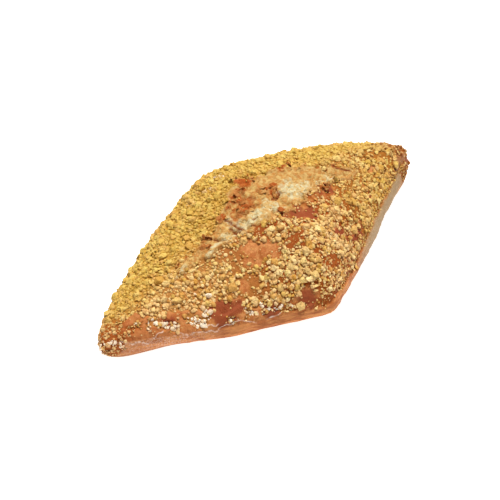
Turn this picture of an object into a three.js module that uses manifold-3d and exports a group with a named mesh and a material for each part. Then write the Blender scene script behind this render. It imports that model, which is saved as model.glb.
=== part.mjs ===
// A small diamond-shaped bread roll: flat underneath, domed above, torn open along its
// crest and coated with coarse baked maize grits. One closed solid, in millimetres, +Z up.
// The origin is the middle of the flat underside. +X runs to the taller tip, and -Y is the
// broader flank, the one with the straighter sides.

import * as THREE from 'three';
import { mergeVertices } from 'three/addons/utils/BufferGeometryUtils.js';
import Module from 'manifold-3d';

const { smoothstep, clamp, radToDeg, lerp } = THREE.MathUtils;

const outline = {
  halfLength: 80, // middle to each tip
  sharpTip: 1.03, // the tips' reach before they are rounded, per unit of halfLength
  frontReach: 40, // line of the tips to the front corner
  backReach: 37.4, // line of the tips to the back corner
  frontFullness: 1.03, // 1 is a straight-sided diamond, 2 is an ellipse
  backFullness: 1.356,
  lean: 0.1, // how far the front and back corners slide along X, per unit of reach
  rounding: 0.0007, // rounds off the tips and the corners, 0 leaves them sharp
};

// The form is worked out round the middle of the line through the two tips. This is where
// that point lies once the whole roll is centred on its own box.
const tipsMiddle = new THREE.Vector3(-0.53, 0.91, 0);

const crown = {
  height: 31.2, // highest part of the crest
  leftTipHeight: 10.8,
  rightTipHeight: 22.3,
  leftFall: 0.9, // below 1 the crest falls fast near the middle, above 1 near the tip
  rightFall: 1.35,
  frontShoulder: [2.66, 1.48], // exponents of the dome's section, inner and outer
  backShoulder: [4.32, 2.69],
  leastRise: 0.6, // the dome always stands this far above its own edge
};

const side = {
  seamHeight: 6, // lower edge of the coated skin, above the floor
  seamLift: 7.2, // extra height of that edge at the right tip
  leftTipLift: 2,
  footInset: 2.2, // how far the foot curls in under the side
  bulge: 0.9,
  levels: [0.62, 0.24, 0], // rows of the side wall, as shares of the seam height
  tucks: [ // where the foot lies further in, or further out where the depth is below 0
    { degrees: -4.5, spread: 3.5, depth: 1.6 },
    { degrees: -14, spread: 8, depth: 2.3 },
    { degrees: -148, spread: 7, depth: -0.8 },
    { degrees: -163, spread: 5, depth: 1.4 },
    { degrees: -170.5, spread: 5, depth: 2.6 },
    { degrees: -180, spread: 3.5, depth: 2.1 },
    { degrees: 180, spread: 3.5, depth: 2.1 },
  ],
};

const tear = {
  from: -46, // the tear's ends along X
  to: 48,
  middle: 4, // its widest place
  halfWidth: 11.4,
  tailHalfWidth: 1.5,
  leftSpread: 21,
  rightSpread: 22,
  endFade: 7,
  depth: 1.9, // of the valley behind the front lip
  backDepth: 0.5, // how far the rest of the torn crumb lies below the skin
  valleyPlace: -0.45, // share of the half width, -1 at the front lip
  valleyWidth: 0.45,
  lipHeight: 0.8,
  lipWidth: 1.9,
  crag: 0.5, // height of the crags in the torn crumb
  offset: -1, // of its middle line from the line of the tips, below 0 towards the front
  bows: [ // where that line bends aside and comes back: place along X, spread, size
    { at: 6, spread: 16, size: 3.5 },
    { at: -20, spread: 8, size: -0.9 },
  ],
  turn: { from: 18, to: 42, size: -5 }, // where it bends aside for good
};

const grits = {
  largest: 2.25, // radius
  smallest: 1.45,
  count: 168,
  clearance: 0.35, // left between neighbours, so that no hollow is sealed
  flatness: 0.62, // height over width
  sunk: 0.22, // share of the radius that lies in the skin
  roughness: 0.16,
  tries: 9000,
  seed: 41,
};

const cells = 38; // cells along each edge of the diamond grid
const swellHeight = 0.4; // soft unevenness of the whole skin

// Distance from the middle to the outline, in the direction of an angle in radians.
function reach(angle) {
  const c = Math.cos(angle);
  const s = Math.sin(angle);
  const back = smoothstep(s, -0.1, 0.1);
  const breadth = lerp(outline.frontReach, outline.backReach, back);
  const fullness = lerp(outline.frontFullness, outline.backFullness, back);
  const diamond = outline.halfLength * outline.sharpTip;
  const along = Math.hypot((c - outline.lean * s) / diamond, outline.rounding);
  const across = Math.hypot(s / breadth, outline.rounding);
  return (along ** fullness + across ** fullness) ** (-1 / fullness);
}

// Height of the coated skin's lower edge, in the same direction.
function seam(angle) {
  const degrees = radToDeg(Math.atan2(Math.sin(angle), Math.cos(angle)));
  const right = smoothstep(degrees, -66, -8) * (1 - smoothstep(degrees, 0, 45));
  const left = 1 - smoothstep(180 - Math.abs(degrees), 0, 25);
  return side.seamHeight + side.seamLift * right + side.leftTipLift * left;
}

// Height of the crest along the length.
function crest(x) {
  const t = x / outline.halfLength;
  const away = Math.sqrt(t * t + 0.01) - 0.1; // |t| with its corner rounded off
  const left = lerp(crown.leftTipHeight, crown.height, 1 - away ** crown.leftFall);
  const right = lerp(crown.rightTipHeight, crown.height, 1 - away ** crown.rightFall);
  return lerp(left, right, smoothstep(t, -0.1, 0.1));
}

// Share of the crest's height at a share of the way out, from 1 at the crest to 0 at the edge.
function shoulder(share, angle) {
  const back = smoothstep(Math.sin(angle), -0.3, 0.3);
  const inner = lerp(crown.frontShoulder[0], crown.backShoulder[0], back);
  const outer = lerp(crown.frontShoulder[1], crown.backShoulder[1], back);
  return Math.max(1 - share ** inner, 0) ** (1 / outer);
}

// Soft unevenness of a hand-shaped skin.
function swell(x, y) {
  const broad = Math.sin(0.13 * x + 0.9) * Math.sin(0.21 * y + 0.4);
  const fine = Math.sin(0.29 * x - 0.17 * y + 2.1);
  return swellHeight * (broad + 0.5 * fine);
}

// Middle of the tear across the roll, at a place along it.
function tearCentre(x) {
  const bows = tear.bows.map((bow) => bow.size * Math.exp(-(((x - bow.at) / bow.spread) ** 2)));
  const turned = tear.turn.size * smoothstep(x, tear.turn.from, tear.turn.to);
  return bows.reduce((total, bow) => total + bow, tear.offset + turned);
}

// It is widest near the middle of the roll and runs out to a ragged slit at both ends.
function tearHalfWidth(x) {
  const spread = x < tear.middle ? tear.leftSpread : tear.rightSpread;
  const bell = Math.exp(-(((x - tear.middle) / spread) ** 2));
  const ends = smoothstep(x, tear.from, tear.from + tear.endFade)
    * (1 - smoothstep(x, tear.to - tear.endFade, tear.to));
  const ragged = 1 + 0.1 * Math.sin(0.75 * x) + 0.07 * Math.sin(1.7 * x + 1);
  return (tear.halfWidth * bell + tear.tailHalfWidth) * ragged * ends;
}

// Rise or fall of the skin near the tear: a raised ragged lip, then crags of torn crumb.
function tearRelief(x, y) {
  const halfWidth = tearHalfWidth(x);
  if (halfWidth < 0.1) return 0;
  const strength = smoothstep(halfWidth, 0.3, 5);
  const fromCentre = y - tearCentre(x);
  const across = fromCentre / Math.max(halfWidth, 0.5);
  const outside = Math.abs(fromCentre) - halfWidth;
  const inside = 1 - smoothstep(outside, -2.4, 0.2);
  const lip = tear.lipHeight * Math.exp(-(((outside - 0.9) / tear.lipWidth) ** 2));
  const inValley = Math.exp(-(((across - tear.valleyPlace) / tear.valleyWidth) ** 2));
  const depth = lerp(tear.backDepth, tear.depth, inValley);
  const crag = Math.sin(0.85 * x + 1.3 * Math.sin(0.6 * y)) * Math.sin(0.95 * y + 0.3 * x + 0.5)
    + 0.5 * Math.sin(1.45 * x - 1.1 * y);
  return strength * (lip * (1 - inside) + inside * (tear.crag * crag - depth));
}

// A point of the crown: share 0 is the crest's middle, share 1 the outline.
function crownPoint(share, angle) {
  const distance = share * reach(angle);
  const x = distance * Math.cos(angle);
  const y = distance * Math.sin(angle);
  const edge = seam(angle);
  const rise = Math.max(crest(x) - edge, crown.leastRise);
  const fade = 1 - share ** 6; // no relief at the outline itself
  const relief = fade * (swell(x, y) + tearRelief(x, y));
  return new THREE.Vector3(x, y, edge + rise * shoulder(share, angle) + relief);
}

// How much further in the foot lies, in the direction of an angle.
function tuck(angle) {
  const degrees = radToDeg(Math.atan2(Math.sin(angle), Math.cos(angle)));
  const depths = side.tucks.map((one) => (
    one.depth * Math.exp(-(((degrees - one.degrees) / one.spread) ** 2))));
  return depths.reduce((total, depth) => total + depth, 0);
}

// A point of the side wall: level 0 is the floor, level 1 the seam.
function sidePoint(level, angle) {
  const edge = seam(angle);
  const foot = side.footInset * (1 - level) ** 4;
  const bulge = side.bulge * Math.sin(Math.PI * level) * clamp(edge / 10, 0.5, 1.4);
  const distance = reach(angle) + bulge - foot - tuck(angle) * (1 - level) ** 1.3;
  return new THREE.Vector3(distance * Math.cos(angle), distance * Math.sin(angle), edge * level);
}

// Share and angle of a node of the diamond grid, with p and q from -1 to 1.
function gridPolar(p, q) {
  const ring = Math.max(Math.abs(p), Math.abs(q));
  const angle = Math.atan2(outline.frontReach * (q - p), outline.halfLength * (p + q));
  return { share: Math.sin((ring * Math.PI) / 2), angle: ring === 0 ? 0 : angle };
}

// The roll without its grits.
function bareRoll() {
  const points = [];
  const triangles = [];
  const addPoint = (point) => points.push(point.x, point.y, point.z) / 3 - 1;
  const addQuad = (a, b, c, d) => triangles.push(a, b, c, a, c, d);

  const grid = [];
  for (let i = 0; i <= cells; i += 1) {
    grid.push([]);
    for (let j = 0; j <= cells; j += 1) {
      const { share, angle } = gridPolar((2 * i) / cells - 1, (2 * j) / cells - 1);
      grid[i].push(addPoint(crownPoint(share, angle)));
    }
  }
  for (let i = 0; i < cells; i += 1) {
    for (let j = 0; j < cells; j += 1) {
      const corners = [grid[i][j], grid[i + 1][j], grid[i + 1][j + 1], grid[i][j + 1]];
      const alongTips = (i < cells / 2) === (j < cells / 2); // diagonals follow the crest
      if (!alongTips) corners.push(corners.shift());
      addQuad(...corners);
    }
  }

  const rim = [];
  for (let k = 0; k < cells; k += 1) rim.push([k, 0]);
  for (let k = 0; k < cells; k += 1) rim.push([cells, k]);
  for (let k = cells; k > 0; k -= 1) rim.push([k, cells]);
  for (let k = cells; k > 0; k -= 1) rim.push([0, k]);

  let upper = rim.map(([i, j]) => grid[i][j]);
  for (const level of side.levels) {
    const lower = rim.map(([i, j]) => {
      const { angle } = gridPolar((2 * i) / cells - 1, (2 * j) / cells - 1);
      return addPoint(sidePoint(level, angle));
    });
    upper.forEach((top, k) => {
      const next = (k + 1) % upper.length;
      addQuad(top, lower[k], lower[next], upper[next]);
    });
    upper = lower;
  }

  const underside = addPoint(new THREE.Vector3(0, 0, 0));
  upper.forEach((foot, k) => triangles.push(foot, underside, upper[(k + 1) % upper.length]));

  const geometry = new THREE.BufferGeometry();
  geometry.setAttribute('position', new THREE.Float32BufferAttribute(points, 3));
  geometry.setIndex(triangles);
  return geometry;
}

function seededRandom(seed) {
  let state = seed;
  return () => {
    state = (state + 0x6d2b79f5) | 0;
    let mixed = Math.imul(state ^ (state >>> 15), 1 | state);
    mixed = (mixed + Math.imul(mixed ^ (mixed >>> 7), 61 | mixed)) ^ mixed;
    return ((mixed ^ (mixed >>> 14)) >>> 0) / 2 ** 32;
  };
}

// Places on the skin with no grits, besides the tear: the front of both tips, two patches low
// on the front flank, one in its middle and one beside the tear.
const barePatches = [
  { x: -69, y: -6, radius: 7 },
  { x: -38, y: -21, radius: 8 },
  { x: -13, y: -33, radius: 5 },
  { x: -20, y: -14, radius: 6 },
  { x: 3, y: -14, radius: 5 },
  { x: 72, y: -5, radius: 7 },
];

function isCoated(x, y, radius) {
  const halfWidth = tearHalfWidth(x);
  if (Math.abs(y - tearCentre(x)) < halfWidth + radius * 1.2) return false;
  return barePatches.every((patch) => Math.hypot(x - patch.x, y - patch.y) > patch.radius);
}

function skinNormal(share, angle) {
  const step = 0.01;
  const here = crownPoint(share, angle);
  const outward = crownPoint(share + step, angle).sub(here);
  const around = crownPoint(share, angle + step).sub(here);
  return outward.cross(around).normalize();
}

// A rounded, lumpy, slightly flattened grain, sunk a little into the skin.
function grit(place, random) {
  const geometry = new THREE.IcosahedronGeometry(place.radius, 0);
  geometry.deleteAttribute('normal');
  geometry.deleteAttribute('uv');
  const grain = mergeVertices(geometry, 1e-4);
  const position = grain.attributes.position;
  const corner = new THREE.Vector3();
  for (let k = 0; k < position.count; k += 1) {
    corner.fromBufferAttribute(position, k);
    corner.multiplyScalar(1 + grits.roughness * (2 * random() - 1));
    position.setXYZ(k, corner.x, corner.y, corner.z);
  }
  grain.rotateZ(2 * Math.PI * random());
  grain.scale(1 + 0.25 * random(), 1, grits.flatness + 0.2 * random());
  grain.rotateZ(2 * Math.PI * random());
  const up = new THREE.Vector3(0, 0, 1);
  const turn = new THREE.Quaternion().setFromUnitVectors(up, place.normal);
  grain.applyQuaternion(turn);
  const centre = place.point.clone().addScaledVector(place.normal, -grits.sunk * place.radius);
  grain.translate(centre.x, centre.y, centre.z);
  return grain;
}

function gritPlaces(random) {
  const places = [];
  for (let n = 0; n < grits.tries && places.length < grits.count; n += 1) {
    const { share, angle } = gridPolar(2 * random() - 1, 2 * random() - 1);
    const radius = lerp(grits.largest, grits.smallest, Math.min(n / (0.6 * grits.tries), 1));
    const point = crownPoint(share, angle);
    if (share > 0.985 || !isCoated(point.x, point.y, radius)) continue;
    const isClear = places.every((other) => (
      other.point.distanceTo(point) > 1.2 * (other.radius + radius) + grits.clearance
    ));
    if (isClear) places.push({ point, radius, normal: skinNormal(share, angle) });
  }
  return places;
}

const wasm = await Module();
wasm.setup();

function toSolid(geometry) {
  const vertProperties = Float32Array.from(geometry.attributes.position.array);
  const triVerts = Uint32Array.from(geometry.index.array);
  return new wasm.Manifold(new wasm.Mesh({ numProp: 3, vertProperties, triVerts }));
}

function toGeometry(solid) {
  const mesh = solid.getMesh();
  const geometry = new THREE.BufferGeometry();
  geometry.setAttribute('position', new THREE.BufferAttribute(mesh.vertProperties, 3));
  geometry.setIndex(new THREE.BufferAttribute(mesh.triVerts, 1));
  return geometry;
}

function coatedRoll() {
  const random = seededRandom(grits.seed);
  const places = gritPlaces(random);
  return places.reduce(
    (solid, place) => solid.add(toSolid(grit(place, random))),
    toSolid(bareRoll()),
  );
}

const crustMaterial = new THREE.MeshStandardMaterial({
  color: '#d3a457',
  roughness: 0.85,
  metalness: 0,
});

const roll = new THREE.Mesh(toGeometry(coatedRoll()), crustMaterial);
roll.name = 'roll';
roll.position.copy(tipsMiddle);

const group = new THREE.Group();
group.add(roll);

export default group;
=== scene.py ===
# A small diamond-shaped bread roll with a torn crest and a coat of baked maize grits.
# Lengths in the dictionaries are in millimetres. The meshes are made in metres.

import itertools
import math

import bpy
import numpy as np
from mathutils import Matrix, Vector


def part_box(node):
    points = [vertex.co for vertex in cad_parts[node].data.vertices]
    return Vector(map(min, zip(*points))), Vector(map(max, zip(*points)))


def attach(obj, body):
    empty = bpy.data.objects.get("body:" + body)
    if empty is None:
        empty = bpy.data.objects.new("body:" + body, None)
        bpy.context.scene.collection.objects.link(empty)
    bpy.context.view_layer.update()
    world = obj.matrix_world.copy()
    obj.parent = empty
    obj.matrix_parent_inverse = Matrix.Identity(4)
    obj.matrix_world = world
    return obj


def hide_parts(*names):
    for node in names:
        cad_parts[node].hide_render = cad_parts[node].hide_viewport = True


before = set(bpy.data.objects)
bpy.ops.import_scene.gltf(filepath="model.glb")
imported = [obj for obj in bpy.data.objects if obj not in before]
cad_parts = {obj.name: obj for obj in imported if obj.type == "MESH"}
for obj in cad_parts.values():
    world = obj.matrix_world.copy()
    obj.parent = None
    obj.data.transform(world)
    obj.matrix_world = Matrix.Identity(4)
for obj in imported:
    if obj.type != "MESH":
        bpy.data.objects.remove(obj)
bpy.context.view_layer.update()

mm = 0.001
nodeLow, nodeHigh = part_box("roll")
print("frame loaded, roll is", [round((b - a) / mm, 1) for a, b in zip(nodeLow, nodeHigh)], "mm")

# The camera stands about where the photograph was taken from. Its height is an estimate.
shot = {
    "azimuth": -45.16,        # degrees, 0 looks along +Y
    "elevation": 36.0,
    "distance": 800.0,
    "pixelsPerMm": 2.6755,    # at the middle of the roll
    "imageSize": 500,
    "tipsMiddlePixel": (262.8, 266.1),  # where the middle between the tips is seen
    "sensor": 36.0,
}

# The form is worked out round the middle of the line through the two tips.
tipsMiddle = np.array((-0.53, 0.91, 0.0))

outline = {
    "halfLength": 80.0,
    "sharpTip": 1.03,         # the tips' reach before they are rounded
    "frontReach": 40.0,
    "backReach": 37.4,
    "frontFullness": 1.03,    # 1 is a straight-sided diamond, 2 is an ellipse
    "backFullness": 1.356,
    "lean": 0.1,
    "rounding": 0.0007,
}

crown = {
    "height": 31.2,
    "leftTipHeight": 10.8,
    "rightTipHeight": 22.3,
    "leftFall": 0.9,
    "rightFall": 1.35,
    "frontShoulder": (2.66, 1.48),
    "backShoulder": (4.32, 2.69),
    "leastRise": 0.6,
    "swell": 0.4,
}

side = {
    "seamHeight": 6.0,
    "seamLift": 7.2,
    "leftTipLift": 2.0,
    "footInset": 2.2,
    "bulge": 0.9,
    "tucks": [                # further in at the foot: degrees, spread in degrees, depth
        (-4.5, 3.5, 1.6), (-14, 8, 2.3), (-148, 7, -0.8), (-163, 5, 1.4), (-170.5, 5, 2.6),
        (-180, 3.5, 2.1), (180, 3.5, 2.1),
    ],
}

tear = {
    "from": -46.0,
    "to": 48.0,
    "middle": 4.0,
    "halfWidth": 11.4,
    "tailHalfWidth": 1.5,
    "leftSpread": 21.0,
    "rightSpread": 22.0,
    "endFade": 7.0,
    "depth": 1.9,             # of the valley behind the front lip
    "backDepth": 0.5,
    "valleyPlace": -0.45,     # share of the half width, -1 at the front lip
    "valleyWidth": 0.45,
    "lipHeight": 0.8,
    "lipWidth": 1.9,
    "crag": 0.5,
    "offset": -1.0,           # of its middle line from the line of the tips
    "bows": [(6, 16, 3.5), (-20, 8, -0.9)],      # bends aside: place, spread, size
    "turn": (18, 42, -5.0),   # the last bend: from, to, size
}

skin = {
    "cells": 264,  # along each edge of the diamond grid
    "sideRows": 16,
    "wrinkle": 0.2,
    "layers": 0.14,           # of the dough, seen as faint level lines on the sides
    "fines": 0.45,            # height of the grits too fine to be pieces of their own
    "underCoat": 0.9,         # the skin lies this far below the coat's outline
    "crumbLump": 0.5,
    "crumbFold": 0.42,
    "crumbFibre": 0.3,
    "crack": 0.6,
    "fold": 0.35,
    "scar": 0.2,
    "seamGroove": 0.25,
}


def makeCamera():
    a, e = math.radians(shot["azimuth"]), math.radians(shot["elevation"])
    back = Vector((math.sin(a) * math.cos(e), -math.cos(a) * math.cos(e), math.sin(e)))
    right = Vector((math.cos(a), math.sin(a), 0))
    up = back.cross(right)
    half = shot["imageSize"] / 2
    column, row = shot["tipsMiddlePixel"]
    aside = (half - column) / shot["pixelsPerMm"]
    above = (row - half) / shot["pixelsPerMm"]
    target = Vector(tipsMiddle) + right * aside + up * above
    data = bpy.data.cameras.new("camera")
    data.sensor_width = shot["sensor"]
    data.lens = shot["sensor"] * shot["pixelsPerMm"] * shot["distance"] / shot["imageSize"]
    data.clip_start, data.clip_end = 0.05, 20
    camera = bpy.data.objects.new("camera", data)
    axes = Matrix((right, up, back)).transposed().to_4x4()
    camera.matrix_world = Matrix.Translation((target + back * shot["distance"]) * mm) @ axes
    bpy.context.scene.collection.objects.link(camera)
    bpy.context.scene.camera = camera


makeCamera()
print("camera placed")


def linearColour(text):
    channels = [int(text[i:i + 2], 16) / 255 for i in (1, 3, 5)]
    return (*[c / 12.92 if c <= 0.04045 else ((c + 0.055) / 1.055) ** 2.4 for c in channels], 1)


def addNode(tree, kind, inputs=None, **settings):
    node = tree.nodes.new(kind)
    for name, value in settings.items():
        setattr(node, name, value)
    for key, value in (inputs or {}).items():
        if isinstance(value, bpy.types.NodeSocket):
            tree.links.new(value, node.inputs[key])
        else:
            node.inputs[key].default_value = value
    return node


def smoothstep(x, low, high):
    t = np.clip((x - low) / (high - low), 0, 1)
    return t * t * (3 - 2 * t)


def lerp(a, b, t):
    return a + (b - a) * t


def hashed(cells, seed):      # one number from 0 to 1 for each whole-number cell
    x, y, z = (cells[..., k].astype(np.int64).astype(np.uint32) for k in range(3))
    mixed = x * np.uint32(73856093) ^ y * np.uint32(19349663) ^ z * np.uint32(83492791)
    mixed = mixed + np.uint32(seed * 40503 + 977)
    for shift in (15, 12, 16):
        mixed = (mixed ^ (mixed >> np.uint32(shift))) * np.uint32(2146121005)
    return (mixed ^ (mixed >> np.uint32(15))) / 2 ** 32


def noise(points, size, seed=0):      # from -1 to 1, with lumps about as wide as size
    place = points / size
    low = np.floor(place)
    t = place - low
    t = t * t * (3 - 2 * t)
    total = 0
    for step in itertools.product((0, 1), repeat=3):
        weight = np.prod(np.where(np.array(step) == 1, t, 1 - t), axis=-1)
        total = total + weight * hashed(low + step, seed)
    return 2 * total - 1


def scattered(points, size, seed=0):  # distance to the nearest scattered spot, in sizes
    place = points / size
    low = np.floor(place)
    nearest = np.full(len(points), 9.0)
    for step in itertools.product((-1, 0, 1), repeat=3):
        cell = low + step
        spot = cell + np.stack([hashed(cell, seed + k) for k in (1, 2, 3)], axis=-1)
        nearest = np.minimum(nearest, np.linalg.norm(spot - place, axis=-1))
    return nearest


# The same form as the solid's, for arrays of shares and angles.
def reach(angle):
    c, s = np.cos(angle), np.sin(angle)
    back = smoothstep(s, -0.1, 0.1)
    breadth = lerp(outline["frontReach"], outline["backReach"], back)
    fullness = lerp(outline["frontFullness"], outline["backFullness"], back)
    diamond = outline["halfLength"] * outline["sharpTip"]
    along = np.hypot((c - outline["lean"] * s) / diamond, outline["rounding"])
    across = np.hypot(s / breadth, outline["rounding"])
    return (along ** fullness + across ** fullness) ** (-1 / fullness)


def seam(angle):
    degrees = np.degrees(np.arctan2(np.sin(angle), np.cos(angle)))
    right = smoothstep(degrees, -66, -8) * (1 - smoothstep(degrees, 0, 45))
    left = 1 - smoothstep(180 - np.abs(degrees), 0, 25)
    return side["seamHeight"] + side["seamLift"] * right + side["leftTipLift"] * left


def crest(x):
    t = x / outline["halfLength"]
    away = np.sqrt(t * t + 0.01) - 0.1
    left = lerp(crown["leftTipHeight"], crown["height"], 1 - away ** crown["leftFall"])
    right = lerp(crown["rightTipHeight"], crown["height"], 1 - away ** crown["rightFall"])
    return lerp(left, right, smoothstep(t, -0.1, 0.1))


def shoulder(share, angle):
    back = smoothstep(np.sin(angle), -0.3, 0.3)
    inner = lerp(crown["frontShoulder"][0], crown["backShoulder"][0], back)
    outer = lerp(crown["frontShoulder"][1], crown["backShoulder"][1], back)
    return np.maximum(1 - share ** inner, 0) ** (1 / outer)


def swell(x, y):
    broad = np.sin(0.13 * x + 0.9) * np.sin(0.21 * y + 0.4)
    return crown["swell"] * (broad + 0.5 * np.sin(0.29 * x - 0.17 * y + 2.1))


def tearCentre(x):
    start, end, size = tear["turn"]
    bows = sum(most * np.exp(-(((x - place) / spread) ** 2)) for place, spread, most in tear["bows"])
    return bows + size * smoothstep(x, start, end) + tear["offset"]


def tearHalfWidth(x):
    spread = np.where(x < tear["middle"], tear["leftSpread"], tear["rightSpread"])
    bell = np.exp(-(((x - tear["middle"]) / spread) ** 2))
    ends = smoothstep(x, tear["from"], tear["from"] + tear["endFade"])
    ends = ends * (1 - smoothstep(x, tear["to"] - tear["endFade"], tear["to"]))
    ragged = 1 + 0.1 * np.sin(0.75 * x) + 0.07 * np.sin(1.7 * x + 1)
    return (tear["halfWidth"] * bell + tear["tailHalfWidth"]) * ragged * ends


def tearRelief(x, y):
    halfWidth = tearHalfWidth(x)
    strength = smoothstep(halfWidth, 0.3, 5)
    fromCentre = y - tearCentre(x)
    across = fromCentre / np.maximum(halfWidth, 0.5)        # -1 front lip, 1 back lip
    outside = np.abs(fromCentre) - halfWidth
    inside = 1 - smoothstep(outside, -2.4, 0.2)
    lip = tear["lipHeight"] * np.exp(-(((outside - 0.9) / tear["lipWidth"]) ** 2))
    inValley = np.exp(-(((across - tear["valleyPlace"]) / tear["valleyWidth"]) ** 2))
    valley = lerp(tear["backDepth"], tear["depth"], inValley)
    crag = np.sin(0.85 * x + 1.3 * np.sin(0.6 * y)) * np.sin(0.95 * y + 0.3 * x + 0.5)
    crag = crag + 0.5 * np.sin(1.45 * x - 1.1 * y)
    return strength * (lip * (1 - inside) + inside * (tear["crag"] * crag - valley))


def crownPoints(share, angle):
    distance = share * reach(angle)
    x, y = distance * np.cos(angle), distance * np.sin(angle)
    edge = seam(angle)
    rise = np.maximum(crest(x) - edge, crown["leastRise"])
    relief = (1 - share ** 6) * (swell(x, y) + tearRelief(x, y))
    return np.stack([x, y, edge + rise * shoulder(share, angle) + relief], axis=-1)


def sidePoints(level, angle):
    edge = seam(angle)
    foot = side["footInset"] * (1 - level) ** 4
    bulge = side["bulge"] * math.sin(math.pi * level) * np.clip(edge / 10, 0.5, 1.4)
    degrees = np.degrees(np.arctan2(np.sin(angle), np.cos(angle)))
    tuck = sum(depth * np.exp(-(((degrees - at) / spread) ** 2)) for at, spread, depth in side["tucks"])
    distance = reach(angle) + bulge - foot - tuck * (1 - level) ** 1.3
    x, y = distance * np.cos(angle), distance * np.sin(angle)
    return np.stack([x, y, edge * level], axis=-1)


def gridPolar(p, q):
    ring = np.maximum(np.abs(p), np.abs(q))
    angle = np.arctan2(outline["frontReach"] * (q - p), outline["halfLength"] * (p + q))
    return np.sin(ring * np.pi / 2), angle


# Marks on the skin, from the pixels where they are seen: place of the middle and radius.
bareSpots = [                 # hardly a grain sticks here
    (-40, -20, 11, 5.5), (-34, -21, 13, 3.5), (-29, -20, 17, 2.4), (-25, -30, 8, 2.8),
    (-16, -33, 10, 2.5), (-11, -35, 11, 4.2), (-19, -12, 25, 3.8), (-15, -15.5, 25, 2.8),
    (-14, -19, 25, 3.0), (-21, -16, 22, 3.6), (26, -10, 28, 2.4), (21, -10, 29, 2.6),
    (16, -10, 29, 2.2), (12, -11, 30, 2.0), (0, -11, 30, 2.9), (4, -13, 30, 3.9),
    (8, -16, 29, 3.6), (15, -24, 20, 2.2), (19, -25, 17, 2.0), (23, -25, 15, 1.8),
    (31, -21, 16, 1.8), (42, -11, 23, 2.0), (53, -6, 22, 2.0), (79, -2, 12, 2.2),
]
thickSpots = [                # large grains stuck together
    (-9, -9, 29, 2.8), (-11, -11.5, 28, 2.2), (-4, -12, 29, 2.8), (-1, -17, 27, 3.2),
    (4, -19, 26, 2.6), (10, -20, 25, 2.4), (-33, -11, 22, 3.0), (-30, -16, 19, 2.6),
    (-50, -8, 17, 3.0), (-20, -27, 16, 2.6),
]
bakedSpots = [                # redder and darker than the rest of the skin
    (-40, -20, 11, 6.0), (-35, -22, 12, 3.5), (-26, -30, 8, 3.2), (-12, -35, 10, 4.0),
    (25, -10, 28, 2.6), (20, -10, 29, 2.0), (-1, -10, 30, 2.8), (4, -13, 30, 3.8),
    (9, -16, 28, 3.6), (16, -24, 19, 3.0), (24, -26, 13, 3.5), (31, -23, 15, 2.5),
    (78, -3, 9, 4.0), (78, 2, 15, 3.5), (-58, -10, 11, 3.0), (26, -24, 13, 3.0),
    (33, -20, 16, 2.6), (37, -18, 18, 2.6), (42, -15, 19, 2.4), (20, -26, 15, 3.0),
    (12, -29, 15, 2.6),
]
coatSpots = [(-70, -4, 11.5, 2.6), (-67, -5, 12, 1.8), (-73, -3, 9, 2.2)]   # below the coat's edge
tipFaceSpots = [(71.5, -5, 16, 3.4), (75, -4, 14.5, 3.0), (68, -6.5, 15, 2.4)]   # hardly coated
coatTongue = [(6, 13.6, 31, 3.6), (10.5, 13.4, 31, 2.4)]       # the coat reaches into the tear
creamSpots = [                # the palest of the torn crumb
    (13, -3, 31, 6.0), (18, -4, 30, 4.5), (8, -1, 31, 3.2), (0, -5, 31, 4.4), (-8, -5, 29, 4.4),
    (-14, -3, 28, 3.9), (-22, -4, 26, 3.2), (30, -6, 29, 3.2), (24, -5, 29, 2.4),
    (-16, 1, 28, 2.2), (-17, -6, 27, 2.8), (-12, -1, 29, 2.6),
]
toastSpots = [                # ragged scorched bits in the tear
    (2, 12, 31, 3.8), (0, -9.5, 30, 2.0), (-23, -6.5, 24, 1.5), (-7, 8, 30, 2.3),
    (-6, 5, 30, 2.3), (-8, 1, 30, 2.3), (5, 0, 31, 2.8), (3, 3, 31, 2.2), (7.5, 3.5, 31, 2.4),
    (19, 9, 31, 1.4), (28, 6, 30, 1.2), (36, -1, 29, 1.3), (-31, 0, 24, 1.6), (-41, 2, 21, 1.3),
    (-38, 2, 22, 1.1), (-27, 2, 25, 1.5), (24, -8, 29, 1.8), (-17, 4, 28, 1.5), (-12, 6, 29, 1.2),
    (-3, 9, 30, 1.2), (-29, -1, 24, 1.2), (-2, 8, 30, 1.6), (-10, 4, 29, 1.5), (22, 8, 31, 1.2),
    (31, 3, 30, 1.1),
]
plainToast = (2, 12)          # this one bears no flakes
paleSpots = [                 # clumps of floury grits
    (-62, -8, 11, 2.2), (-59, -10, 10, 2.2), (-57, -12, 9, 2.4), (-64, -7, 11, 1.5),
    (-44, -10, 16, 1.2), (-42, -13, 15, 1.2), (-45, -16, 11, 2.2), (-50, -14, 10, 2.6),
    (-48, -17, 9, 2.3), (-33, -25, 9, 2.2), (-27, -28, 9, 2.0), (-24, -30, 9, 1.7),
    (-27, -26, 11, 1.4), (-76, -4, 7, 2.0), (-38, -23, 8, 1.3), (0, 24, 30, 2.2),
    (-8, 21, 29, 1.8), (-17, 21, 26, 1.7), (6, 18, 31, 1.3), (-78, -2, 10, 2.8), (-79, 1, 6, 2.8),
    (-67, -5, 11, 1.4), (-35, -18, 16, 1.3), (-22, -31, 9, 1.4), (-54, -12, 10, 1.5),
    (-18, -33, 8, 1.2),
]
burntSpots = [                # blackened specks
    (-80, -1, 1.5, 2.0), (-78, -3, 1, 1.8), (-80, 1, 4, 0.9), (-79, -2, 6, 0.8),
    (-74, -5, 3, 0.8), (62, -8, 17, 0.9), (66, -7, 15, 1.0), (69, -6, 15.5, 0.8),
    (64, -7, 18, 0.8), (67, -6, 18, 0.6), (71, -5.5, 14, 0.8), (63, -8.5, 15, 0.9),
    (65, -8.5, 13.5, 0.9), (68, -7.5, 13, 0.7), (73, -4, 17, 0.5), (78, 0, 15, 0.8),
    (79, 2, 11, 1.0), (77, 2, 17, 0.8), (75, -3, 16, 0.8), (79, 0, 12, 0.7),
]

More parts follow.
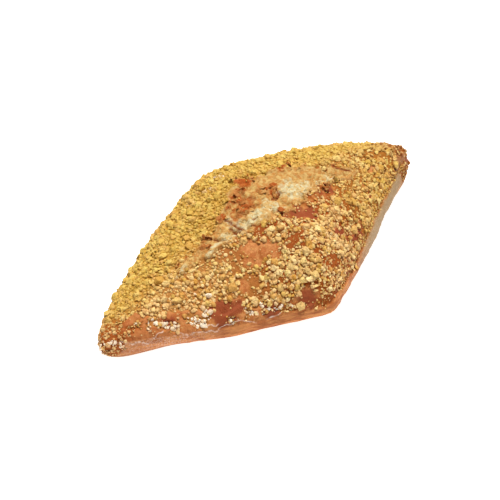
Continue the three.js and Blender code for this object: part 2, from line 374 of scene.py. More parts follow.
# Lines on the crown are places in x and y, those on the front side are in x and z.
crownCracks = [
    [(-16, 3), (-15.4, -1), (-15, -5), (-12.6, -7.4)], [(-18, -0.6), (-17.6, -3.4), (-15.4, -6)],
    [(-25.4, 0), (-24.4, -2.6), (-22.6, -4.6)], [(22, -7), (24, -8.2), (25.6, -9.4)],
    [(34, 0.4), (36.4, -2.4), (38, -4.6), (41, -5.4)], [(4.4, -2.2), (7.4, -0.6), (8.2, 1.4)],
]
crumbHole = (-9.0, -4.6)
scarLines = [
    [(-47, -1), (-42, -1), (-38, 0), (-35, 0)], [(-32, -4), (-28, -3), (-25, -3.1), (-22, -2.4)],
]
flourLines = [
    [(-77, 9), (-73, 7), (-68, 6), (-66.5, 5.4), (-64, 7.4), (-61, 9)],
    [(-57, 7.2), (-53, 5.4), (-49, 6), (-44, 5.2), (-42, 6), (-39, 7), (-36, 7), (-31, 5.6)],
    [(-47, 7.4), (-43, 7.4)], [(-27, 6), (-22, 6.6)],
]


def ridged(points, size, seed):       # from -1 to 1 along winding ridges
    return 1 - 2 * np.abs(noise(points, size, seed))


def spotMask(points, spots, seed):    # 1 inside the spots, with wandering edges
    wander = np.stack([noise(points, 3.0, seed + k) for k in range(3)], axis=-1)
    ragged = np.stack([noise(points, 1.0, seed + k) for k in range(3, 6)], axis=-1)
    shift = 1.3 * wander + 0.9 * ragged
    mask = np.zeros(len(points))
    for *middle, radius in spots:
        moved = points + shift * min(1, radius / 1.3)
        away = np.linalg.norm(moved - np.array(middle), axis=-1) / radius
        mask = np.maximum(mask, 1 - smoothstep(away, 0.7, 1.1))
    return mask


def lineDistance(places, lines, seed):
    full = np.stack([*places.T, np.zeros(len(places))], axis=-1)
    moved = places + 0.7 * np.stack([noise(full, 1.7, seed), noise(full, 1.7, seed + 1)], axis=-1)
    nearest = np.full(len(places), 99.0)
    for line in lines:
        for start, end in zip(np.array(line[:-1]), np.array(line[1:])):
            way = end - start
            along = np.clip((moved - start) @ way / (way @ way), 0, 1)
            nearest = np.minimum(nearest, np.linalg.norm(moved - start - along[:, None] * way, axis=-1))
    return nearest


folded = {"x": -8, "y": 5, "length": 13, "width": 7}      # where the crumb is most folded

coatRim = {                   # lower edge of the coat of grits, against the seam
    "leftFrontRise": 5.0,
    "rightFrontDrop": 0.2,
    "backDrop": 0.5,
    "leftTipDrop": 8.0,
    "rightTipDrop": 9.0,
    "wander": 2.0,
    "fineWander": 0.9,
}

dusting = {                   # shares of flour on the sides
    "leftFront": 0.42,
    "leftTip": 0.4,
    "rightFront": 0.22,
    "back": 0.3,
    "backLeft": 0.8,
}

# Where along the length something comes in or fades out.
stretches = {
    "rimRises": (-76, -68), "rimRiseEnds": (-30, -20), "rimDrops": (-12, 0),
    "leftTipRim": (-78, -73), "rightTipRim": (67, 75), "crispRim": (-5, 12),
    "leftTip": (-76, -66), "rightTip": (70, 77), "farLeft": (-78, -66),
    "tanned": (65, 74),       # the end that stood nearest the heat
    "leftDust": (-62, -38), "tipDust": (-76, -68), "rightDust": (0, 14), "rightDustEnds": (40, 58),
    "floury": (-76, -58), "gold": (12, 36), "soft": (-72, -60), "softEnds": (-40, -10),
    "wholeScar": (-35, -30), "gappy": (-44, -22), "clumpsEnd": (12, 30), "smallAtRim": (-4, 6),
}


def comesIn(x, name):
    return smoothstep(x, *stretches[name])


def fadesOut(x, name):
    return 1 - comesIn(x, name)


def coatEdge(points):                 # height where the coat of grits ends
    x, y = points[:, 0], points[:, 1]
    front = coatRim["leftFrontRise"] * comesIn(x, "rimRises") * fadesOut(x, "rimRiseEnds")
    front = front - coatRim["rightFrontDrop"] * comesIn(x, "rimDrops")
    tips = coatRim["leftTipDrop"] * fadesOut(x, "leftTipRim")
    tips = tips + coatRim["rightTipDrop"] * comesIn(x, "rightTipRim")
    return seam(np.arctan2(y, x)) + np.where(y < 0, front, -coatRim["backDrop"]) - tips


def skinMasks(points, onCrown):
    x, y, z = points.T
    halfWidth = tearHalfWidth(x)
    outside = np.abs(y - tearCentre(x)) - halfWidth
    ragged = 1.3 * noise(points, 3.4, 5) + 0.8 * noise(points, 1.2, 6)
    torn = onCrown * (halfWidth > 0.4) * (1 - smoothstep(outside + ragged, -0.4, 0.8))
    torn = torn * (1 - spotMask(points, coatTongue, 21))
    worn = onCrown * (halfWidth > 0.4) * (1 - smoothstep(outside + 1.5 * ragged, 1.5, 4.5))
    fromFolds = ((x - folded["x"]) / folded["length"]) ** 2 + ((y - folded["y"]) / folded["width"]) ** 2
    foldZone = onCrown * np.exp(-fromFolds)
    folds = smoothstep(ridged(points, 3.1, 90), 0.8 - 0.25 * foldZone, 1) * torn * lerp(0.25, 1, foldZone)
    scar = onCrown * (1 - smoothstep(lineDistance(points[:, :2], scarLines, 16), 0.5, 1.4))
    broken = smoothstep(noise(points, 2.4, 17), -0.35, 0.15)
    scar = scar * lerp(broken, 1, comesIn(x, "wholeScar"))
    crack = onCrown * (1 - smoothstep(lineDistance(points[:, :2], crownCracks, 18), 0.3, 0.85))
    fromHole = np.linalg.norm(points[:, :2] - np.array(crumbHole), axis=-1)
    crack = np.maximum(crack, onCrown * (1 - smoothstep(fromHole, 0.7, 1.2)))
    toast = onCrown * spotMask(points, toastSpots, 30)
    pale = spotMask(points, paleSpots, 40)
    wander = coatRim["wander"] * noise(points, 5, 11) + coatRim["fineWander"] * noise(points, 1.8, 12)
    crisp = np.where(y < 0, comesIn(x, "crispRim"), 0)
    edge = coatEdge(points)
    level = z + wander * lerp(1, 0.25, crisp)
    sunk = smoothstep(level, edge - 0.3, edge + lerp(1.2, 0.3, crisp)) * (1 - torn)
    sunk = np.maximum(sunk, spotMask(points, coatSpots, 23))
    tipFace = spotMask(points, tipFaceSpots, 24)
    wall = np.maximum(np.where(onCrown, crisp * (1 - sunk), 1), tipFace)
    coat = sunk * (1 - 0.6 * tipFace) * (1 - spotMask(points, bareSpots, 20)) * (1 - toast) * (1 - scar)
    folds = folds * (1 - toast)
    line = (y < 0) * (1 - smoothstep(lineDistance(points[:, [0, 2]], flourLines, 26), 0.0, 0.24))
    line = line * smoothstep(noise(points, 1.6, 28), -0.6, 0.2)
    tips = np.maximum(fadesOut(x, "leftTip"), comesIn(x, "rightTip"))
    farLeft, tanned = fadesOut(x, "farLeft"), comesIn(x, "tanned")
    dust = dusting["leftFront"] * fadesOut(x, "leftDust") + dusting["leftTip"] * fadesOut(x, "tipDust")
    dust = dust + dusting["rightFront"] * comesIn(x, "rightDust") * fadesOut(x, "rightDustEnds")
    return {
        "torn": np.maximum(torn, scar),
        "cream": np.maximum(torn * spotMask(points, creamSpots, 8), 0.85 * scar) * (1 - toast),
        "coat": np.maximum(coat, pale),
        "side": wall,
        "sunk": np.maximum(sunk, pale) * (1 - toast) * (1 - scar) * (1 - 0.6 * tips),
        "toast": toast,
        "thick": spotMask(points, thickSpots, 55),
        "folds": folds,
        "worn": worn,
        "baked": spotMask(points, bakedSpots, 60),
        "crack": crack,
        "flour": line,
        "dust": np.where(y < 0, dust, np.maximum(dusting["back"], dusting["backLeft"] * farLeft)),
        "floury": np.where(y < 0, dust, dusting["back"]) * lerp(0.25, 1, comesIn(x, "floury")),
        "pale": pale,
        "burnt": spotMask(points, burntSpots, 50),
        "gold": np.maximum(smoothstep(y, -8, 9), 0.55 * comesIn(x, "gold"))
        * (1 - 0.5 * tanned) * (1 - 0.7 * farLeft),
        "soft": fadesOut(x, "softEnds") * comesIn(x, "soft"),
        "tanned": tanned,
        "tips": tips,
        "scar": scar,
    }


def displace(points, masks, seamNearness, lowDown):
    fines = np.clip(0.75 - scattered(points, 1.25, 60), 0, 1)
    fines = fines + 0.5 * np.clip(0.7 - scattered(points, 0.7, 64), 0, 1)
    plain = noise(points, 5, 70) + 0.6 * noise(points, 1.8, 71) + 0.4 * noise(points, 0.8, 72)
    crumb = skin["crumbLump"] * ridged(points * (1, 0.6, 1), 4.4, 73)
    crumb = crumb + skin["crumbFold"] * ridged(points, 2.1, 74)
    crumb = crumb + skin["crumbFibre"] * ridged(points * (1, 0.6, 1), 0.95, 75)
    rough = np.maximum(lerp(0.45, 1, masks["cream"]), 1.25 * masks["toast"])
    groove = -skin["seamGroove"] * seamNearness * smoothstep(noise(points, 6, 76), -0.6, 0.1)
    out = skin["wrinkle"] * plain * (1 - masks["torn"])
    out = out + masks["coat"] * skin["fines"] * fines - skin["underCoat"] * masks["sunk"]
    out = out + rough * crumb * np.maximum(masks["torn"], masks["toast"])
    out = out + skin["layers"] * ridged(points * (0.2, 0.2, 1), 1.1, 77) * lowDown
    out = out + skin["scar"] * masks["scar"] * (0.9 + 0.3 * noise(points, 1.3, 79))
    out = out - skin["crack"] * masks["crack"] - skin["fold"] * masks["folds"]
    return out + 0.15 * masks["flour"] + groove


def makeMesh(name, points, faces):
    mesh = bpy.data.meshes.new(name)
    mesh.from_pydata(points.tolist(), [], faces.tolist())
    mesh.validate()
    return mesh


def storeMask(mesh, name, values):
    mesh.attributes.new(name, "FLOAT", "POINT").data.foreach_set("value", values.astype(np.float32))


def gritPlaces(points, masks, onCrown):      # how thickly each kind lies, from 0 to 1
    x, y, z = points.T
    coat, torn, pale, tips, worn = (masks[name] for name in ("coat", "torn", "pale", "tips", "worn"))
    clumps = noise(points, 5.5, 80) + 0.6 * noise(points, 2.6, 81)
    front = 1 - smoothstep(y, -2, 8)
    gappy = front * comesIn(x, "gappy")          # where the skin shows between grits
    clumped = front * fadesOut(x, "clumpsEnd")
    nearRim = comesIn(x, "smallAtRim") * front * (1 - smoothstep(z - coatEdge(points), 1.5, 4))
    large = lerp(0.7, smoothstep(clumps, -0.15, 0.25), clumped) * (1 - 0.5 * worn) * (1 - nearRim)
    medium = lerp(1, smoothstep(clumps, -0.4, 0.15), 0.9 * gappy) * (1 - 0.9 * nearRim)
    small = np.maximum(lerp(0.75, smoothstep(clumps, -0.8, 0.1), 0.8 * gappy), nearRim)
    meal = np.maximum(lerp(0.12, 0.08, torn), 0.4 * worn * (1 - torn))
    fromPlainToast = np.hypot(x - plainToast[0], y - plainToast[1])
    return {
        "largeHere": coat * (1 - pale) * (1 - tips) * np.maximum(large, masks["thick"]),
        "mediumHere": coat * (1 - 0.2 * pale) * (1 - pale * (y > 5)) * (1 - 0.5 * tips)
        * np.maximum(medium * (1 - 0.6 * worn), masks["thick"]),
        "smallHere": np.maximum(coat * small, pale),
        "fineHere": np.maximum(coat * lerp(1, 0.5, front), onCrown * meal),
        "flakeHere": masks["toast"] * smoothstep(fromPlainToast, 2.5, 4.5),
    }


formOnly = ("sunk", "thick", "tips", "scar")     # masks that no material reads


def rollSkin():
    n = skin["cells"]
    steps = 2 * np.arange(n + 1) / n - 1
    p, q = np.meshgrid(steps, steps, indexing="ij")
    share, angle = (a.ravel() for a in gridPolar(p, q))
    index = np.arange((n + 1) ** 2).reshape(n + 1, n + 1)
    a, b, c, d = index[:-1, :-1], index[1:, :-1], index[1:, 1:], index[:-1, 1:]
    faces = [np.stack([a, b, c, d], axis=-1).reshape(-1, 4)]
    rim = np.concatenate([index[:-1, 0], index[-1, :-1], index[:0:-1, -1], index[0, :0:-1]])
    parts = [crownPoints(share, angle)]
    upper, made = rim, len(share)
    for row in range(1, skin["sideRows"] + 1):
        level = 1 - row / skin["sideRows"]
        parts.append(sidePoints(level, angle[rim]))
        lower = made + np.arange(len(rim))
        made += len(rim)
        faces.append(np.stack([upper, lower, np.roll(lower, -1), np.roll(upper, -1)], axis=-1))
        upper = lower
    points = np.concatenate(parts)
    onCrown = np.arange(len(points)) < len(share)
    levels = np.repeat(1 - np.arange(1, skin["sideRows"] + 1) / skin["sideRows"], len(rim))
    nearness = np.zeros(len(points))
    nearness[:len(share)] = smoothstep(share, 0.985, 1)
    nearness[len(share):] = smoothstep(levels, 0.82, 1)

    masks = skinMasks(points, onCrown)
    mesh = makeMesh("rollSkin", np.concatenate([points, [[0, 0, 0]]]), np.concatenate(faces))
    normals = np.zeros(3 * len(mesh.vertices), np.float32)
    mesh.vertex_normals.foreach_get("vector", normals)
    normals = normals.reshape(-1, 3)[:-1]
    height = displace(points, masks, nearness, ~onCrown)
    height = height * smoothstep(points[:, 2], 0.3, 1.5)       # the foot stays flat
    raised = points + normals * height[:, None]
    raised[:, 2] = np.maximum(raised[:, 2], 0)

    middle = len(points)
    foot = np.stack([upper, np.full(len(rim), middle), np.roll(upper, -1)], axis=-1)
    allPoints = (np.concatenate([raised, [[0, 0, 0]]]) + tipsMiddle) * mm
    allFaces = [*np.concatenate(faces).tolist(), *foot.tolist()]
    bpy.data.meshes.remove(mesh)
    mesh = bpy.data.meshes.new("rollSkin")
    mesh.from_pydata(allPoints.tolist(), [], allFaces)
    mesh.validate()
    mesh.shade_smooth()
    for name, values in masks.items():
        if name not in formOnly:
            storeMask(mesh, name, np.append(values, name == "side"))
    for name, values in gritPlaces(points, masks, onCrown).items():
        storeMask(mesh, name, np.append(values, 0))
    piece = bpy.data.objects.new("rollSkin", mesh)
    bpy.context.scene.collection.objects.link(piece)
    return piece


def mix(tree, share, first, second):
    return addNode(tree, "ShaderNodeMix", {0: share, 6: first, 7: second}, data_type="RGBA").outputs[2]


def speckles(tree, place, size, low, high, detail=3):      # from 0 to 1, in lumps of about the size
    cloud = addNode(tree, "ShaderNodeTexNoise", {
        "Vector": place, "Scale": 1 / (size * mm), "Detail": detail, "Roughness": 0.6,
    }).outputs["Fac"]
    return addNode(tree, "ShaderNodeMapRange", {0: cloud, 1: low, 2: high},
                   interpolation_type="SMOOTHSTEP").outputs[0]


def times(tree, first, second):
    return addNode(tree, "ShaderNodeMath", {0: first, 1: second}, operation="MULTIPLY").outputs[0]


# Baked wheat crust: a dry, nearly dull skin, tan where it is thin and red-brown where it is baked.
crustFinish = {
    "light": "#D28E54",
    "dark": "#B0642F",
    "baked": "#8E4020",
    "ruddy": "#A85828",       # mostly towards the left tip
    "worn": "#CE923F",        # the skin beside the tear
    "between": "#9A4C12",     # crust under and between the grits, darkened as painted shade of the gaps
    # The same at the back and where the coat is soft, also with painted shade of the gaps.
    "betweenBack": "#BA8C36",
    "betweenSoft": "#B27636",
    "glint": "#D9A05A",       # maize meal on the bare skin
    "side": "#CA844C",
    "sideDark": "#A86236",
    "sideTan": "#A2845A",
    "dust": "#F0D8C6",        # flour on the sides
    "underside": "#B98A5C",
    "peach": "#CDA864",
    "peachDeep": "#BC8240",
    "cream": "#D6CA9E",
    "creamDeep": "#CFA866",
    "toast": "#B65E22",
    "toastDeep": "#A04A10",
    # Cracks and the small hole in the crumb: their browned edges, darkened as painted shade of the recess.
    "crack": "#7C3A12",
    "flour": "#F2D8C2",
    "burnt": "#4A2A18",
    "patchSize": 3.4,
    "mottleSize": 1.4,
    "layerSize": 1.3,
    "mealSize": 0.7,
    "powderSize": 0.55,
    "grainSize": 0.45,
    "bump": 0.18,
    "lift": 0.2,              # of the mottled crumb
    "roughness": (0.55, 0.8),
    "specular": 0.15,
}


def crustMaterial():
    f = crustFinish
    material = bpy.data.materials.new("bakedCrust")
    material.use_nodes = True
    tree = material.node_tree
    bsdf = tree.nodes["Principled BSDF"]
    place = addNode(tree, "ShaderNodeTexCoord").outputs["Object"]
    at = {
        name: addNode(tree, "ShaderNodeAttribute", attribute_name=name).outputs["Fac"]
        for name in ("torn", "cream", "coat", "toast", "baked", "crack", "flour", "dust", "floury", "burnt",
                     "gold", "soft", "side", "folds", "worn", "tone")
    }
    rgb = {name: linearColour(value) for name, value in f.items() if str(value).startswith("#")}
    patches = speckles(tree, place, f["patchSize"], 0.36, 0.64, 4)
    mottle = speckles(tree, place, f["mottleSize"], 0.38, 0.62)
    grain = addNode(tree, "ShaderNodeTexNoise", {
        "Vector": place, "Scale": 1 / (f["grainSize"] * mm), "Detail": 3, "Roughness": 0.6,
    }).outputs["Fac"]
    powder = speckles(tree, place, f["powderSize"], 0.46, 0.62)
    meal = speckles(tree, place, f["mealSize"], 0.52, 0.66)
    levelPlace = addNode(tree, "ShaderNodeVectorMath", {0: place, 1: (0.2, 0.2, 1.0)},
                         operation="MULTIPLY").outputs[0]
    layers = speckles(tree, levelPlace, f["layerSize"], 0.4, 0.62)
    underneath = addNode(tree, "ShaderNodeMapRange", {
        0: addNode(tree, "ShaderNodeSeparateXYZ", {0: place}).outputs["Z"],
        1: 0.6 * mm, 2: 0.1 * mm, 3: 0, 4: 1,
    }).outputs[0]

    sides = mix(tree, layers, rgb["side"], rgb["sideDark"])
    sides = mix(tree, times(tree, at["gold"], 1.7), sides, rgb["sideTan"])
    sides = mix(tree, times(tree, at["floury"], powder), sides, rgb["dust"])
    torn = mix(tree, mottle, rgb["peach"], rgb["peachDeep"])
    colour = mix(tree, patches, rgb["light"], rgb["dark"])
    colour = mix(tree, times(tree, at["worn"], 0.6), colour, rgb["worn"])
    colour = mix(tree, times(tree, mottle, 0.55), colour, rgb["dark"])
    colour = mix(tree, times(tree, meal, 0.6), colour, rgb["glint"])
    colour = mix(tree, at["dust"], colour, rgb["ruddy"])
    colour = mix(tree, at["side"], colour, sides)
    colour = mix(tree, underneath, colour, rgb["underside"])
    # Crust between the grits: its own colour, darkened as painted shade of the gaps.
    between = mix(tree, at["soft"], rgb["between"], rgb["betweenSoft"])
    between = mix(tree, times(tree, at["gold"], at["gold"]), between, rgb["betweenBack"])
    colour = mix(tree, at["coat"], colour, between)
    colour = mix(tree, times(tree, at["baked"], 0.92), colour, rgb["baked"])
    colour = mix(tree, at["torn"], colour, torn)
    colour = mix(tree, at["cream"], colour, mix(tree, mottle, rgb["cream"], rgb["creamDeep"]))
    scorched = mix(tree, mottle, rgb["toast"], rgb["toastDeep"])
    colour = mix(tree, at["toast"], colour, mix(tree, times(tree, at["tone"], 0.75), scorched, torn))
    colour = mix(tree, at["folds"], colour, rgb["toastDeep"])
    # Cracks and the small hole: browned edges with painted shade of the recess.
    colour = mix(tree, at["crack"], colour, rgb["crack"])
    colour = mix(tree, at["flour"], colour, rgb["flour"])
    colour = mix(tree, times(tree, at["burnt"], mottle), colour, rgb["burnt"])
    tree.links.new(colour, bsdf.inputs["Base Color"])
    lift = addNode(tree, "ShaderNodeMapRange", {0: at["torn"], 3: 0.35, 4: 1.0}).outputs[0]
    smooth, rough = f["roughness"]
    roughness = addNode(tree, "ShaderNodeMapRange", {0: grain, 1: 0.2, 2: 0.8, 3: smooth, 4: rough})
    tree.links.new(roughness.outputs[0], bsdf.inputs["Roughness"])
    bump = addNode(tree, "ShaderNodeBump", {
        "Height": grain, "Distance": f["bump"] * mm, "Strength": 1.0,
    }).outputs[0]
    bump = addNode(tree, "ShaderNodeBump", {
        "Height": times(tree, mottle, lift), "Distance": f["lift"] * mm, "Strength": 1.0, "Normal": bump,
    }).outputs[0]
    tree.links.new(bump, bsdf.inputs["Normal"])
    bsdf.inputs["Specular IOR Level"].default_value = f["specular"]
    return material


# Coarse maize grits, baked dry: matte and golden, with painted shade on the lower side of each grain where
# it sits in the crust.
gritFinish = {
    "deep": "#D09842",
    "light": "#FFE4A2",
    "goldDeep": "#C49A30",
    "goldLight": "#ECD06C",
    # The next three colours are painted shade for each grain's lower side. The first two also colour random
    # dark mottling, and the first also colours the dark specks near the heat.
    "root": "#8C3E04",
    "softShadeAndSpeck": "#AA6C2C",
    "goldUnderShade": "#BA8C36",
    "goldRich": "#DCA648",
    "lemon": "#EACC66",
    "tan": "#E4AC6A",
    "duskTan": "#D6A276",     # mostly towards the left tip
    "tanned": "#C48850",
    "pale": "#F8E4C8",
    "burnt": "#664020",
    "patchSize": 7.0,
    "mottleSize": 0.8,
    "grainSize": 0.6,
    "bump": 0.45,
    "roughness": 0.65,
    "specular": 0.12,
}


def gritMaterial():
    f = gritFinish
    material = bpy.data.materials.new("bakedMaizeGrits")
    material.use_nodes = True
    tree = material.node_tree
    bsdf = tree.nodes["Principled BSDF"]
    place = addNode(tree, "ShaderNodeTexCoord").outputs["Object"]
    at = {
        name: addNode(tree, "ShaderNodeAttribute", attribute_name=name).outputs["Fac"]
        for name in ("tone", "hue", "gold", "soft", "dust", "pale", "burnt", "tanned", "rootness")
    }
    rgb = {name: linearColour(value) for name, value in f.items() if str(value).startswith("#")}
    grain = addNode(tree, "ShaderNodeTexNoise", {
        "Vector": place, "Scale": 1 / (f["grainSize"] * mm), "Detail": 3,
    }).outputs["Fac"]
    mottle = speckles(tree, place, f["mottleSize"], 0.4, 0.66)
    plain = mix(tree, at["tone"], rgb["deep"], rgb["light"])
    patches = speckles(tree, place, f["patchSize"], 0.38, 0.62)
    gold = mix(tree, at["tone"], rgb["goldDeep"], rgb["goldLight"])
    gold = mix(tree, times(tree, patches, 0.4), gold, rgb["goldRich"])
    colour = mix(tree, at["gold"], plain, gold)
    for start, end, other in ((0.6, 1.5, "lemon"), (0.4, -0.5, "tan")):
        share = addNode(tree, "ShaderNodeMapRange", {0: at["hue"], 1: start, 2: end}).outputs[0]
        colour = mix(tree, share, colour, rgb[other])
    colour = mix(tree, times(tree, at["dust"], 0.5), colour, rgb["duskTan"])
    # Painted shade: each grain darkens towards its lower side, by the height stored on its ball. The same
    # dark colours also give random mottling.
    root = mix(tree, at["soft"], rgb["root"], rgb["softShadeAndSpeck"])
    behind = times(tree, at["gold"], at["gold"])
    colour = mix(tree, times(tree, mottle, 0.3), colour, mix(tree, behind, root, rgb["goldDeep"]))
    colour = mix(tree, at["rootness"], colour, mix(tree, behind, root, rgb["goldUnderShade"]))
    colour = mix(tree, times(tree, at["tanned"], 0.3), colour, rgb["tanned"])
    colour = mix(tree, times(tree, at["tanned"], mottle), colour, rgb["root"])
    flouring = addNode(tree, "ShaderNodeMapRange", {0: at["tone"], 1: 0.15, 2: 0.75}).outputs[0]
    colour = mix(tree, times(tree, at["pale"], flouring), colour, rgb["pale"])
    colour = mix(tree, at["burnt"], colour, rgb["burnt"])
    tree.links.new(colour, bsdf.inputs["Base Color"])
    bump = addNode(tree, "ShaderNodeBump", {
        "Height": grain, "Distance": f["bump"] * mm, "Strength": 1.0,
    }).outputs[0]
    tree.links.new(bump, bsdf.inputs["Normal"])
    bsdf.inputs["Roughness"].default_value = f["roughness"]
    bsdf.inputs["Specular IOR Level"].default_value = f["specular"]
    return material


crust = crustMaterial()
grits = gritMaterial()
body = rollSkin()
body.data.materials.append(crust)
print("skin made,", len(body.data.polygons), "faces")

grainShape = {
    "stretch": (0.8, 1.35),   # length over width
    "shadeFrom": 0.6,          # heights of the ball between which the painted shade of its lower side comes in
    "rootFull": -0.3,
    "lumpWidth": 2.1,
    "dentWidth": 0.65,
}

# Grits of four sizes and the scorched flakes of the tear. Spacing is the least distance
# between two of a kind, and rings and segments are those of the ball that each starts from.
scatterKinds = {
    "gritsLarge": {"where": "largeHere", "spacing": 2.1, "perCm2": 32, "radius": (0.95, 1.75),
                   "flat": (0.6, 1.0), "tilt": 0.5, "sunk": 0.08, "lump": 1.7, "dent": 1.7,
                   "crease": 50, "segments": 11, "rings": 7, "seed": 3},
    "gritsMedium": {"where": "mediumHere", "spacing": 1.05, "perCm2": 110, "radius": (0.6, 1.15),
                    "flat": (0.65, 1.0), "tilt": 0.6, "sunk": 0.05, "lump": 1.1, "dent": 0.9,
                    "crease": 55, "segments": 7, "rings": 4, "seed": 7},
    "gritsSmall": {"where": "smallHere", "spacing": 0.72, "perCm2": 150, "radius": (0.36, 0.72),
                   "flat": (0.6, 1.0), "tilt": 0.5, "sunk": 0.0, "lump": 0.7, "dent": 0.7,
                   "crease": 60, "segments": 6, "rings": 3, "seed": 11},
    "gritsFine": {"where": "fineHere", "spacing": 0.6, "perCm2": 110, "radius": (0.22, 0.42),
                  "flat": (0.7, 1.0), "tilt": 0.5, "sunk": 0.0, "lump": 0.3, "dent": 0.25,
                  "crease": 70, "segments": 5, "rings": 3, "seed": 13},
    "tornFlakes": {"where": "flakeHere", "spacing": 1.0, "perCm2": 80, "radius": (0.7, 1.5),
                   "flat": (0.1, 0.22), "tilt": 0.45, "sunk": 0.05, "lump": 1.2, "dent": 0.7,
                   "crease": 45, "segments": 9, "rings": 4, "seed": 19},
}


def scatterTree(kind, material):
    tree = bpy.data.node_groups.new("scatterOnSkin", "GeometryNodeTree")
    sockets = {}
    tree.interface.new_socket("Geometry", in_out="INPUT", socket_type="NodeSocketGeometry")
    for name in ("Spacing", "Per Area", "Smallest", "Largest", "Flattest", "Roundest", "Sunk",
                 "Lump", "Dent"):
        sockets[name] = tree.interface.new_socket(name, in_out="INPUT",
                                                  socket_type="NodeSocketFloat").identifier
    sockets["Seed"] = tree.interface.new_socket("Seed", in_out="INPUT",
                                                socket_type="NodeSocketInt").identifier
    tree.interface.new_socket("Geometry", in_out="OUTPUT", socket_type="NodeSocketGeometry")
    given = addNode(tree, "NodeGroupInput").outputs

    where = addNode(tree, "GeometryNodeInputNamedAttribute", {"Name": kind["where"]},
                    data_type="FLOAT").outputs["Attribute"]
    spread = addNode(tree, "GeometryNodeDistributePointsOnFaces", {
        "Mesh": given["Geometry"], "Distance Min": given["Spacing"],
        "Density Max": given["Per Area"], "Density Factor": where, "Seed": given["Seed"],
    }, distribute_method="POISSON")
    toned = spread.outputs["Points"]
    for label, apart in (("tone", 0), ("hue", 40)):
        seed = addNode(tree, "ShaderNodeMath", {0: given["Seed"], 1: apart}).outputs[0]
        draw = addNode(tree, "FunctionNodeRandomValue", {"Seed": seed}, data_type="FLOAT").outputs[1]
        toned = addNode(tree, "GeometryNodeStoreNamedAttribute", {
            "Geometry": toned, "Name": label, "Value": draw,
        }, data_type="FLOAT", domain="POINT").outputs[0]

    # One grain: a ball with its height kept, so that its lower side can be given painted shade.
    grain = addNode(tree, "GeometryNodeMeshUVSphere", {
        "Radius": 1.0, "Segments": kind["segments"], "Rings": kind["rings"],
    })
    place = addNode(tree, "GeometryNodeInputPosition").outputs[0]
    height = addNode(tree, "ShaderNodeSeparateXYZ", {0: place}).outputs["Z"]
    rootness = addNode(tree, "ShaderNodeMapRange", {
        0: height, 1: grainShape["shadeFrom"], 2: grainShape["rootFull"], 3: 0, 4: 1,
    })
    marked = addNode(tree, "GeometryNodeStoreNamedAttribute", {
        "Geometry": grain.outputs["Mesh"], "Name": "rootness", "Value": rootness.outputs[0],
    }, data_type="FLOAT", domain="POINT").outputs[0]
    lean = kind["tilt"]
    turn = addNode(tree, "FunctionNodeRandomValue", {
        0: (-lean, -lean, 0.0), 1: (lean, lean, 2 * math.pi), "Seed": 5,
    }, data_type="FLOAT_VECTOR").outputs[0]
    turned = addNode(tree, "FunctionNodeRotateEuler", {
        "Rotation": spread.outputs["Rotation"], "Rotate By": turn,
    }, space="LOCAL").outputs[0]
    draw = addNode(tree, "FunctionNodeRandomValue", {2: 0.0, 3: 1.0, "Seed": 17},
                   data_type="FLOAT").outputs[1]
    size = addNode(tree, "ShaderNodeMapRange", {       # squared, so most are small
        0: times(tree, draw, draw), 3: given["Smallest"], 4: given["Largest"],
    }).outputs[0]
    shortest, longest = grainShape["stretch"]
    stretch = addNode(tree, "FunctionNodeRandomValue", {2: shortest, 3: longest, "Seed": 23},
                      data_type="FLOAT").outputs[1]
    flat = addNode(tree, "FunctionNodeRandomValue", {
        2: given["Flattest"], 3: given["Roundest"], "Seed": 29,
    }, data_type="FLOAT").outputs[1]
    shape = addNode(tree, "ShaderNodeCombineXYZ", {0: stretch, 1: 1.0, 2: flat}).outputs[0]
    scale = addNode(tree, "ShaderNodeVectorMath", {0: shape, "Scale": size},
                    operation="SCALE").outputs[0]
    placed = addNode(tree, "GeometryNodeInstanceOnPoints", {
        "Points": toned, "Instance": marked, "Rotation": turned, "Scale": scale,
    }).outputs[0]
    drop = addNode(tree, "ShaderNodeCombineXYZ", {2: times(tree, given["Sunk"], -1.0)}).outputs[0]
    sunk = addNode(tree, "GeometryNodeTranslateInstances", {
        "Instances": placed, "Translation": drop, "Local Space": True,
    }).outputs[0]
    shaped = addNode(tree, "GeometryNodeRealizeInstances", {"Geometry": sunk}).outputs[0]

    # Every grain gets its own lumps and dents from where it lies.
    for width, amount in ((grainShape["lumpWidth"], "Lump"), (grainShape["dentWidth"], "Dent")):
        cloud = addNode(tree, "ShaderNodeTexNoise", {
            "Vector": addNode(tree, "GeometryNodeInputPosition").outputs[0],
            "Scale": 1 / (width * mm), "Detail": 1.0,
        }).outputs["Color"]
        centred = addNode(tree, "ShaderNodeVectorMath", {0: cloud, 1: (0.5, 0.5, 0.5)},
                          operation="SUBTRACT").outputs[0]
        push = addNode(tree, "ShaderNodeVectorMath", {0: centred, "Scale": given[amount]},
                       operation="SCALE").outputs[0]
        shaped = addNode(tree, "GeometryNodeSetPosition", {"Geometry": shaped, "Offset": push}).outputs[0]
    gentle = addNode(tree, "ShaderNodeMath", {
        0: addNode(tree, "GeometryNodeInputMeshEdgeAngle").outputs["Unsigned Angle"],
        1: math.radians(kind["crease"]),
    }, operation="LESS_THAN").outputs[0]
    smooth = addNode(tree, "GeometryNodeSetShadeSmooth", {"Geometry": shaped}, domain="FACE").outputs[0]
    shaped = addNode(tree, "GeometryNodeSetShadeSmooth", {
        "Geometry": smooth, "Shade Smooth": gentle,
    }, domain="EDGE").outputs[0]
    painted = addNode(tree, "GeometryNodeSetMaterial", {
        "Geometry": shaped, "Material": material,
    }).outputs[0]
    addNode(tree, "NodeGroupOutput", {0: painted})
    return tree, sockets


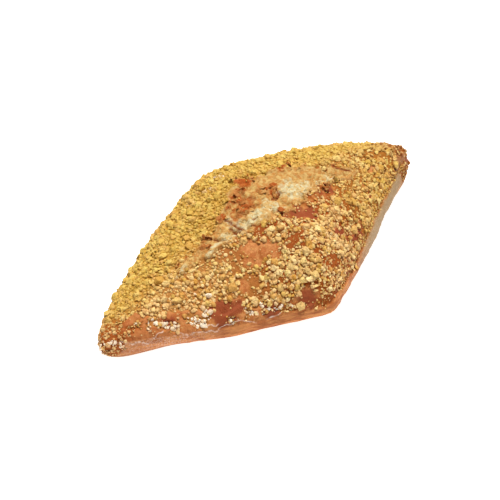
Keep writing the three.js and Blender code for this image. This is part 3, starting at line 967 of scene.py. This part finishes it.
def scatterOn(carrier, name, kind, material):
    tree, sockets = scatterTree(kind, material)
    piece = bpy.data.objects.new(name, carrier.data.copy())
    bpy.context.scene.collection.objects.link(piece)
    modifier = piece.modifiers.new("scatter", "NODES")
    modifier.node_group = tree
    values = {
        "Spacing": kind["spacing"] * mm,
        "Per Area": kind["perCm2"] / 1e-4,
        "Smallest": kind["radius"][0] * mm,
        "Largest": kind["radius"][1] * mm,
        "Flattest": kind["flat"][0],
        "Roundest": kind["flat"][1],
        "Sunk": kind["sunk"],
        "Lump": kind["lump"] * mm,
        "Dent": kind["dent"] * mm,
        "Seed": kind["seed"],
    }
    for label, value in values.items():
        modifier[sockets[label]] = value
    evaluated = piece.evaluated_get(bpy.context.evaluated_depsgraph_get())
    mesh = bpy.data.meshes.new_from_object(evaluated)
    piece.modifiers.clear()
    piece.data = mesh
    mesh.name = name
    return piece


for name, kind in scatterKinds.items():
    isCrust = name == "tornFlakes"
    piece = scatterOn(body, name, kind, crust if isCrust else grits)
    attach(piece, "root")
    mesh = piece.data
    print(name, "made,", sum(len(face.vertices) - 2 for face in mesh.polygons), "triangles")

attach(body, "root")
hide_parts("roll")


# A white sweep and soft light from above and a little behind.
light = {
    "sunDirection": (0.2, 0.06, 0.97),
    "sunStrength": 4.35,
    "sunAngle": 7.0,
    "sky": 0.17,
    "floorSize": 6000.0,
    "floorColour": "#D2D2D2",
    "floorGlow": 0.93,        # a lit sweep, so that hardly a shadow shows on it
}


def makeStage():
    world = bpy.data.worlds.new("softWhite")
    world.use_nodes = True
    background = world.node_tree.nodes["Background"]
    background.inputs["Color"].default_value = (1, 1, 1, 1)
    background.inputs["Strength"].default_value = light["sky"]
    bpy.context.scene.world = world
    bpy.context.scene.view_settings.view_transform = "Standard"   # a plain product shot
    sun = bpy.data.lights.new("softSun", "SUN")
    sun.energy = light["sunStrength"]
    sun.angle = math.radians(light["sunAngle"])
    lamp = bpy.data.objects.new("softSun", sun)
    lamp.rotation_mode = "QUATERNION"
    lamp.rotation_quaternion = Vector(light["sunDirection"]).to_track_quat("Z", "Y")
    bpy.context.scene.collection.objects.link(lamp)
    half = light["floorSize"] * mm / 2
    corners = np.array([(-half, -half, 0), (half, -half, 0), (half, half, 0), (-half, half, 0)])
    floor = bpy.data.objects.new("floor", makeMesh("floor", corners, np.array([[0, 1, 2, 3]])))
    bpy.context.scene.collection.objects.link(floor)
    material = bpy.data.materials.new("paperSweep")
    material.use_nodes = True
    bsdf = material.node_tree.nodes["Principled BSDF"]
    bsdf.inputs["Base Color"].default_value = linearColour(light["floorColour"])
    bsdf.inputs["Roughness"].default_value = 0.9
    bsdf.inputs["Emission Color"].default_value = (1, 1, 1, 1)
    bsdf.inputs["Emission Strength"].default_value = light["floorGlow"]
    floor.data.materials.append(material)


makeStage()
print("stage made")
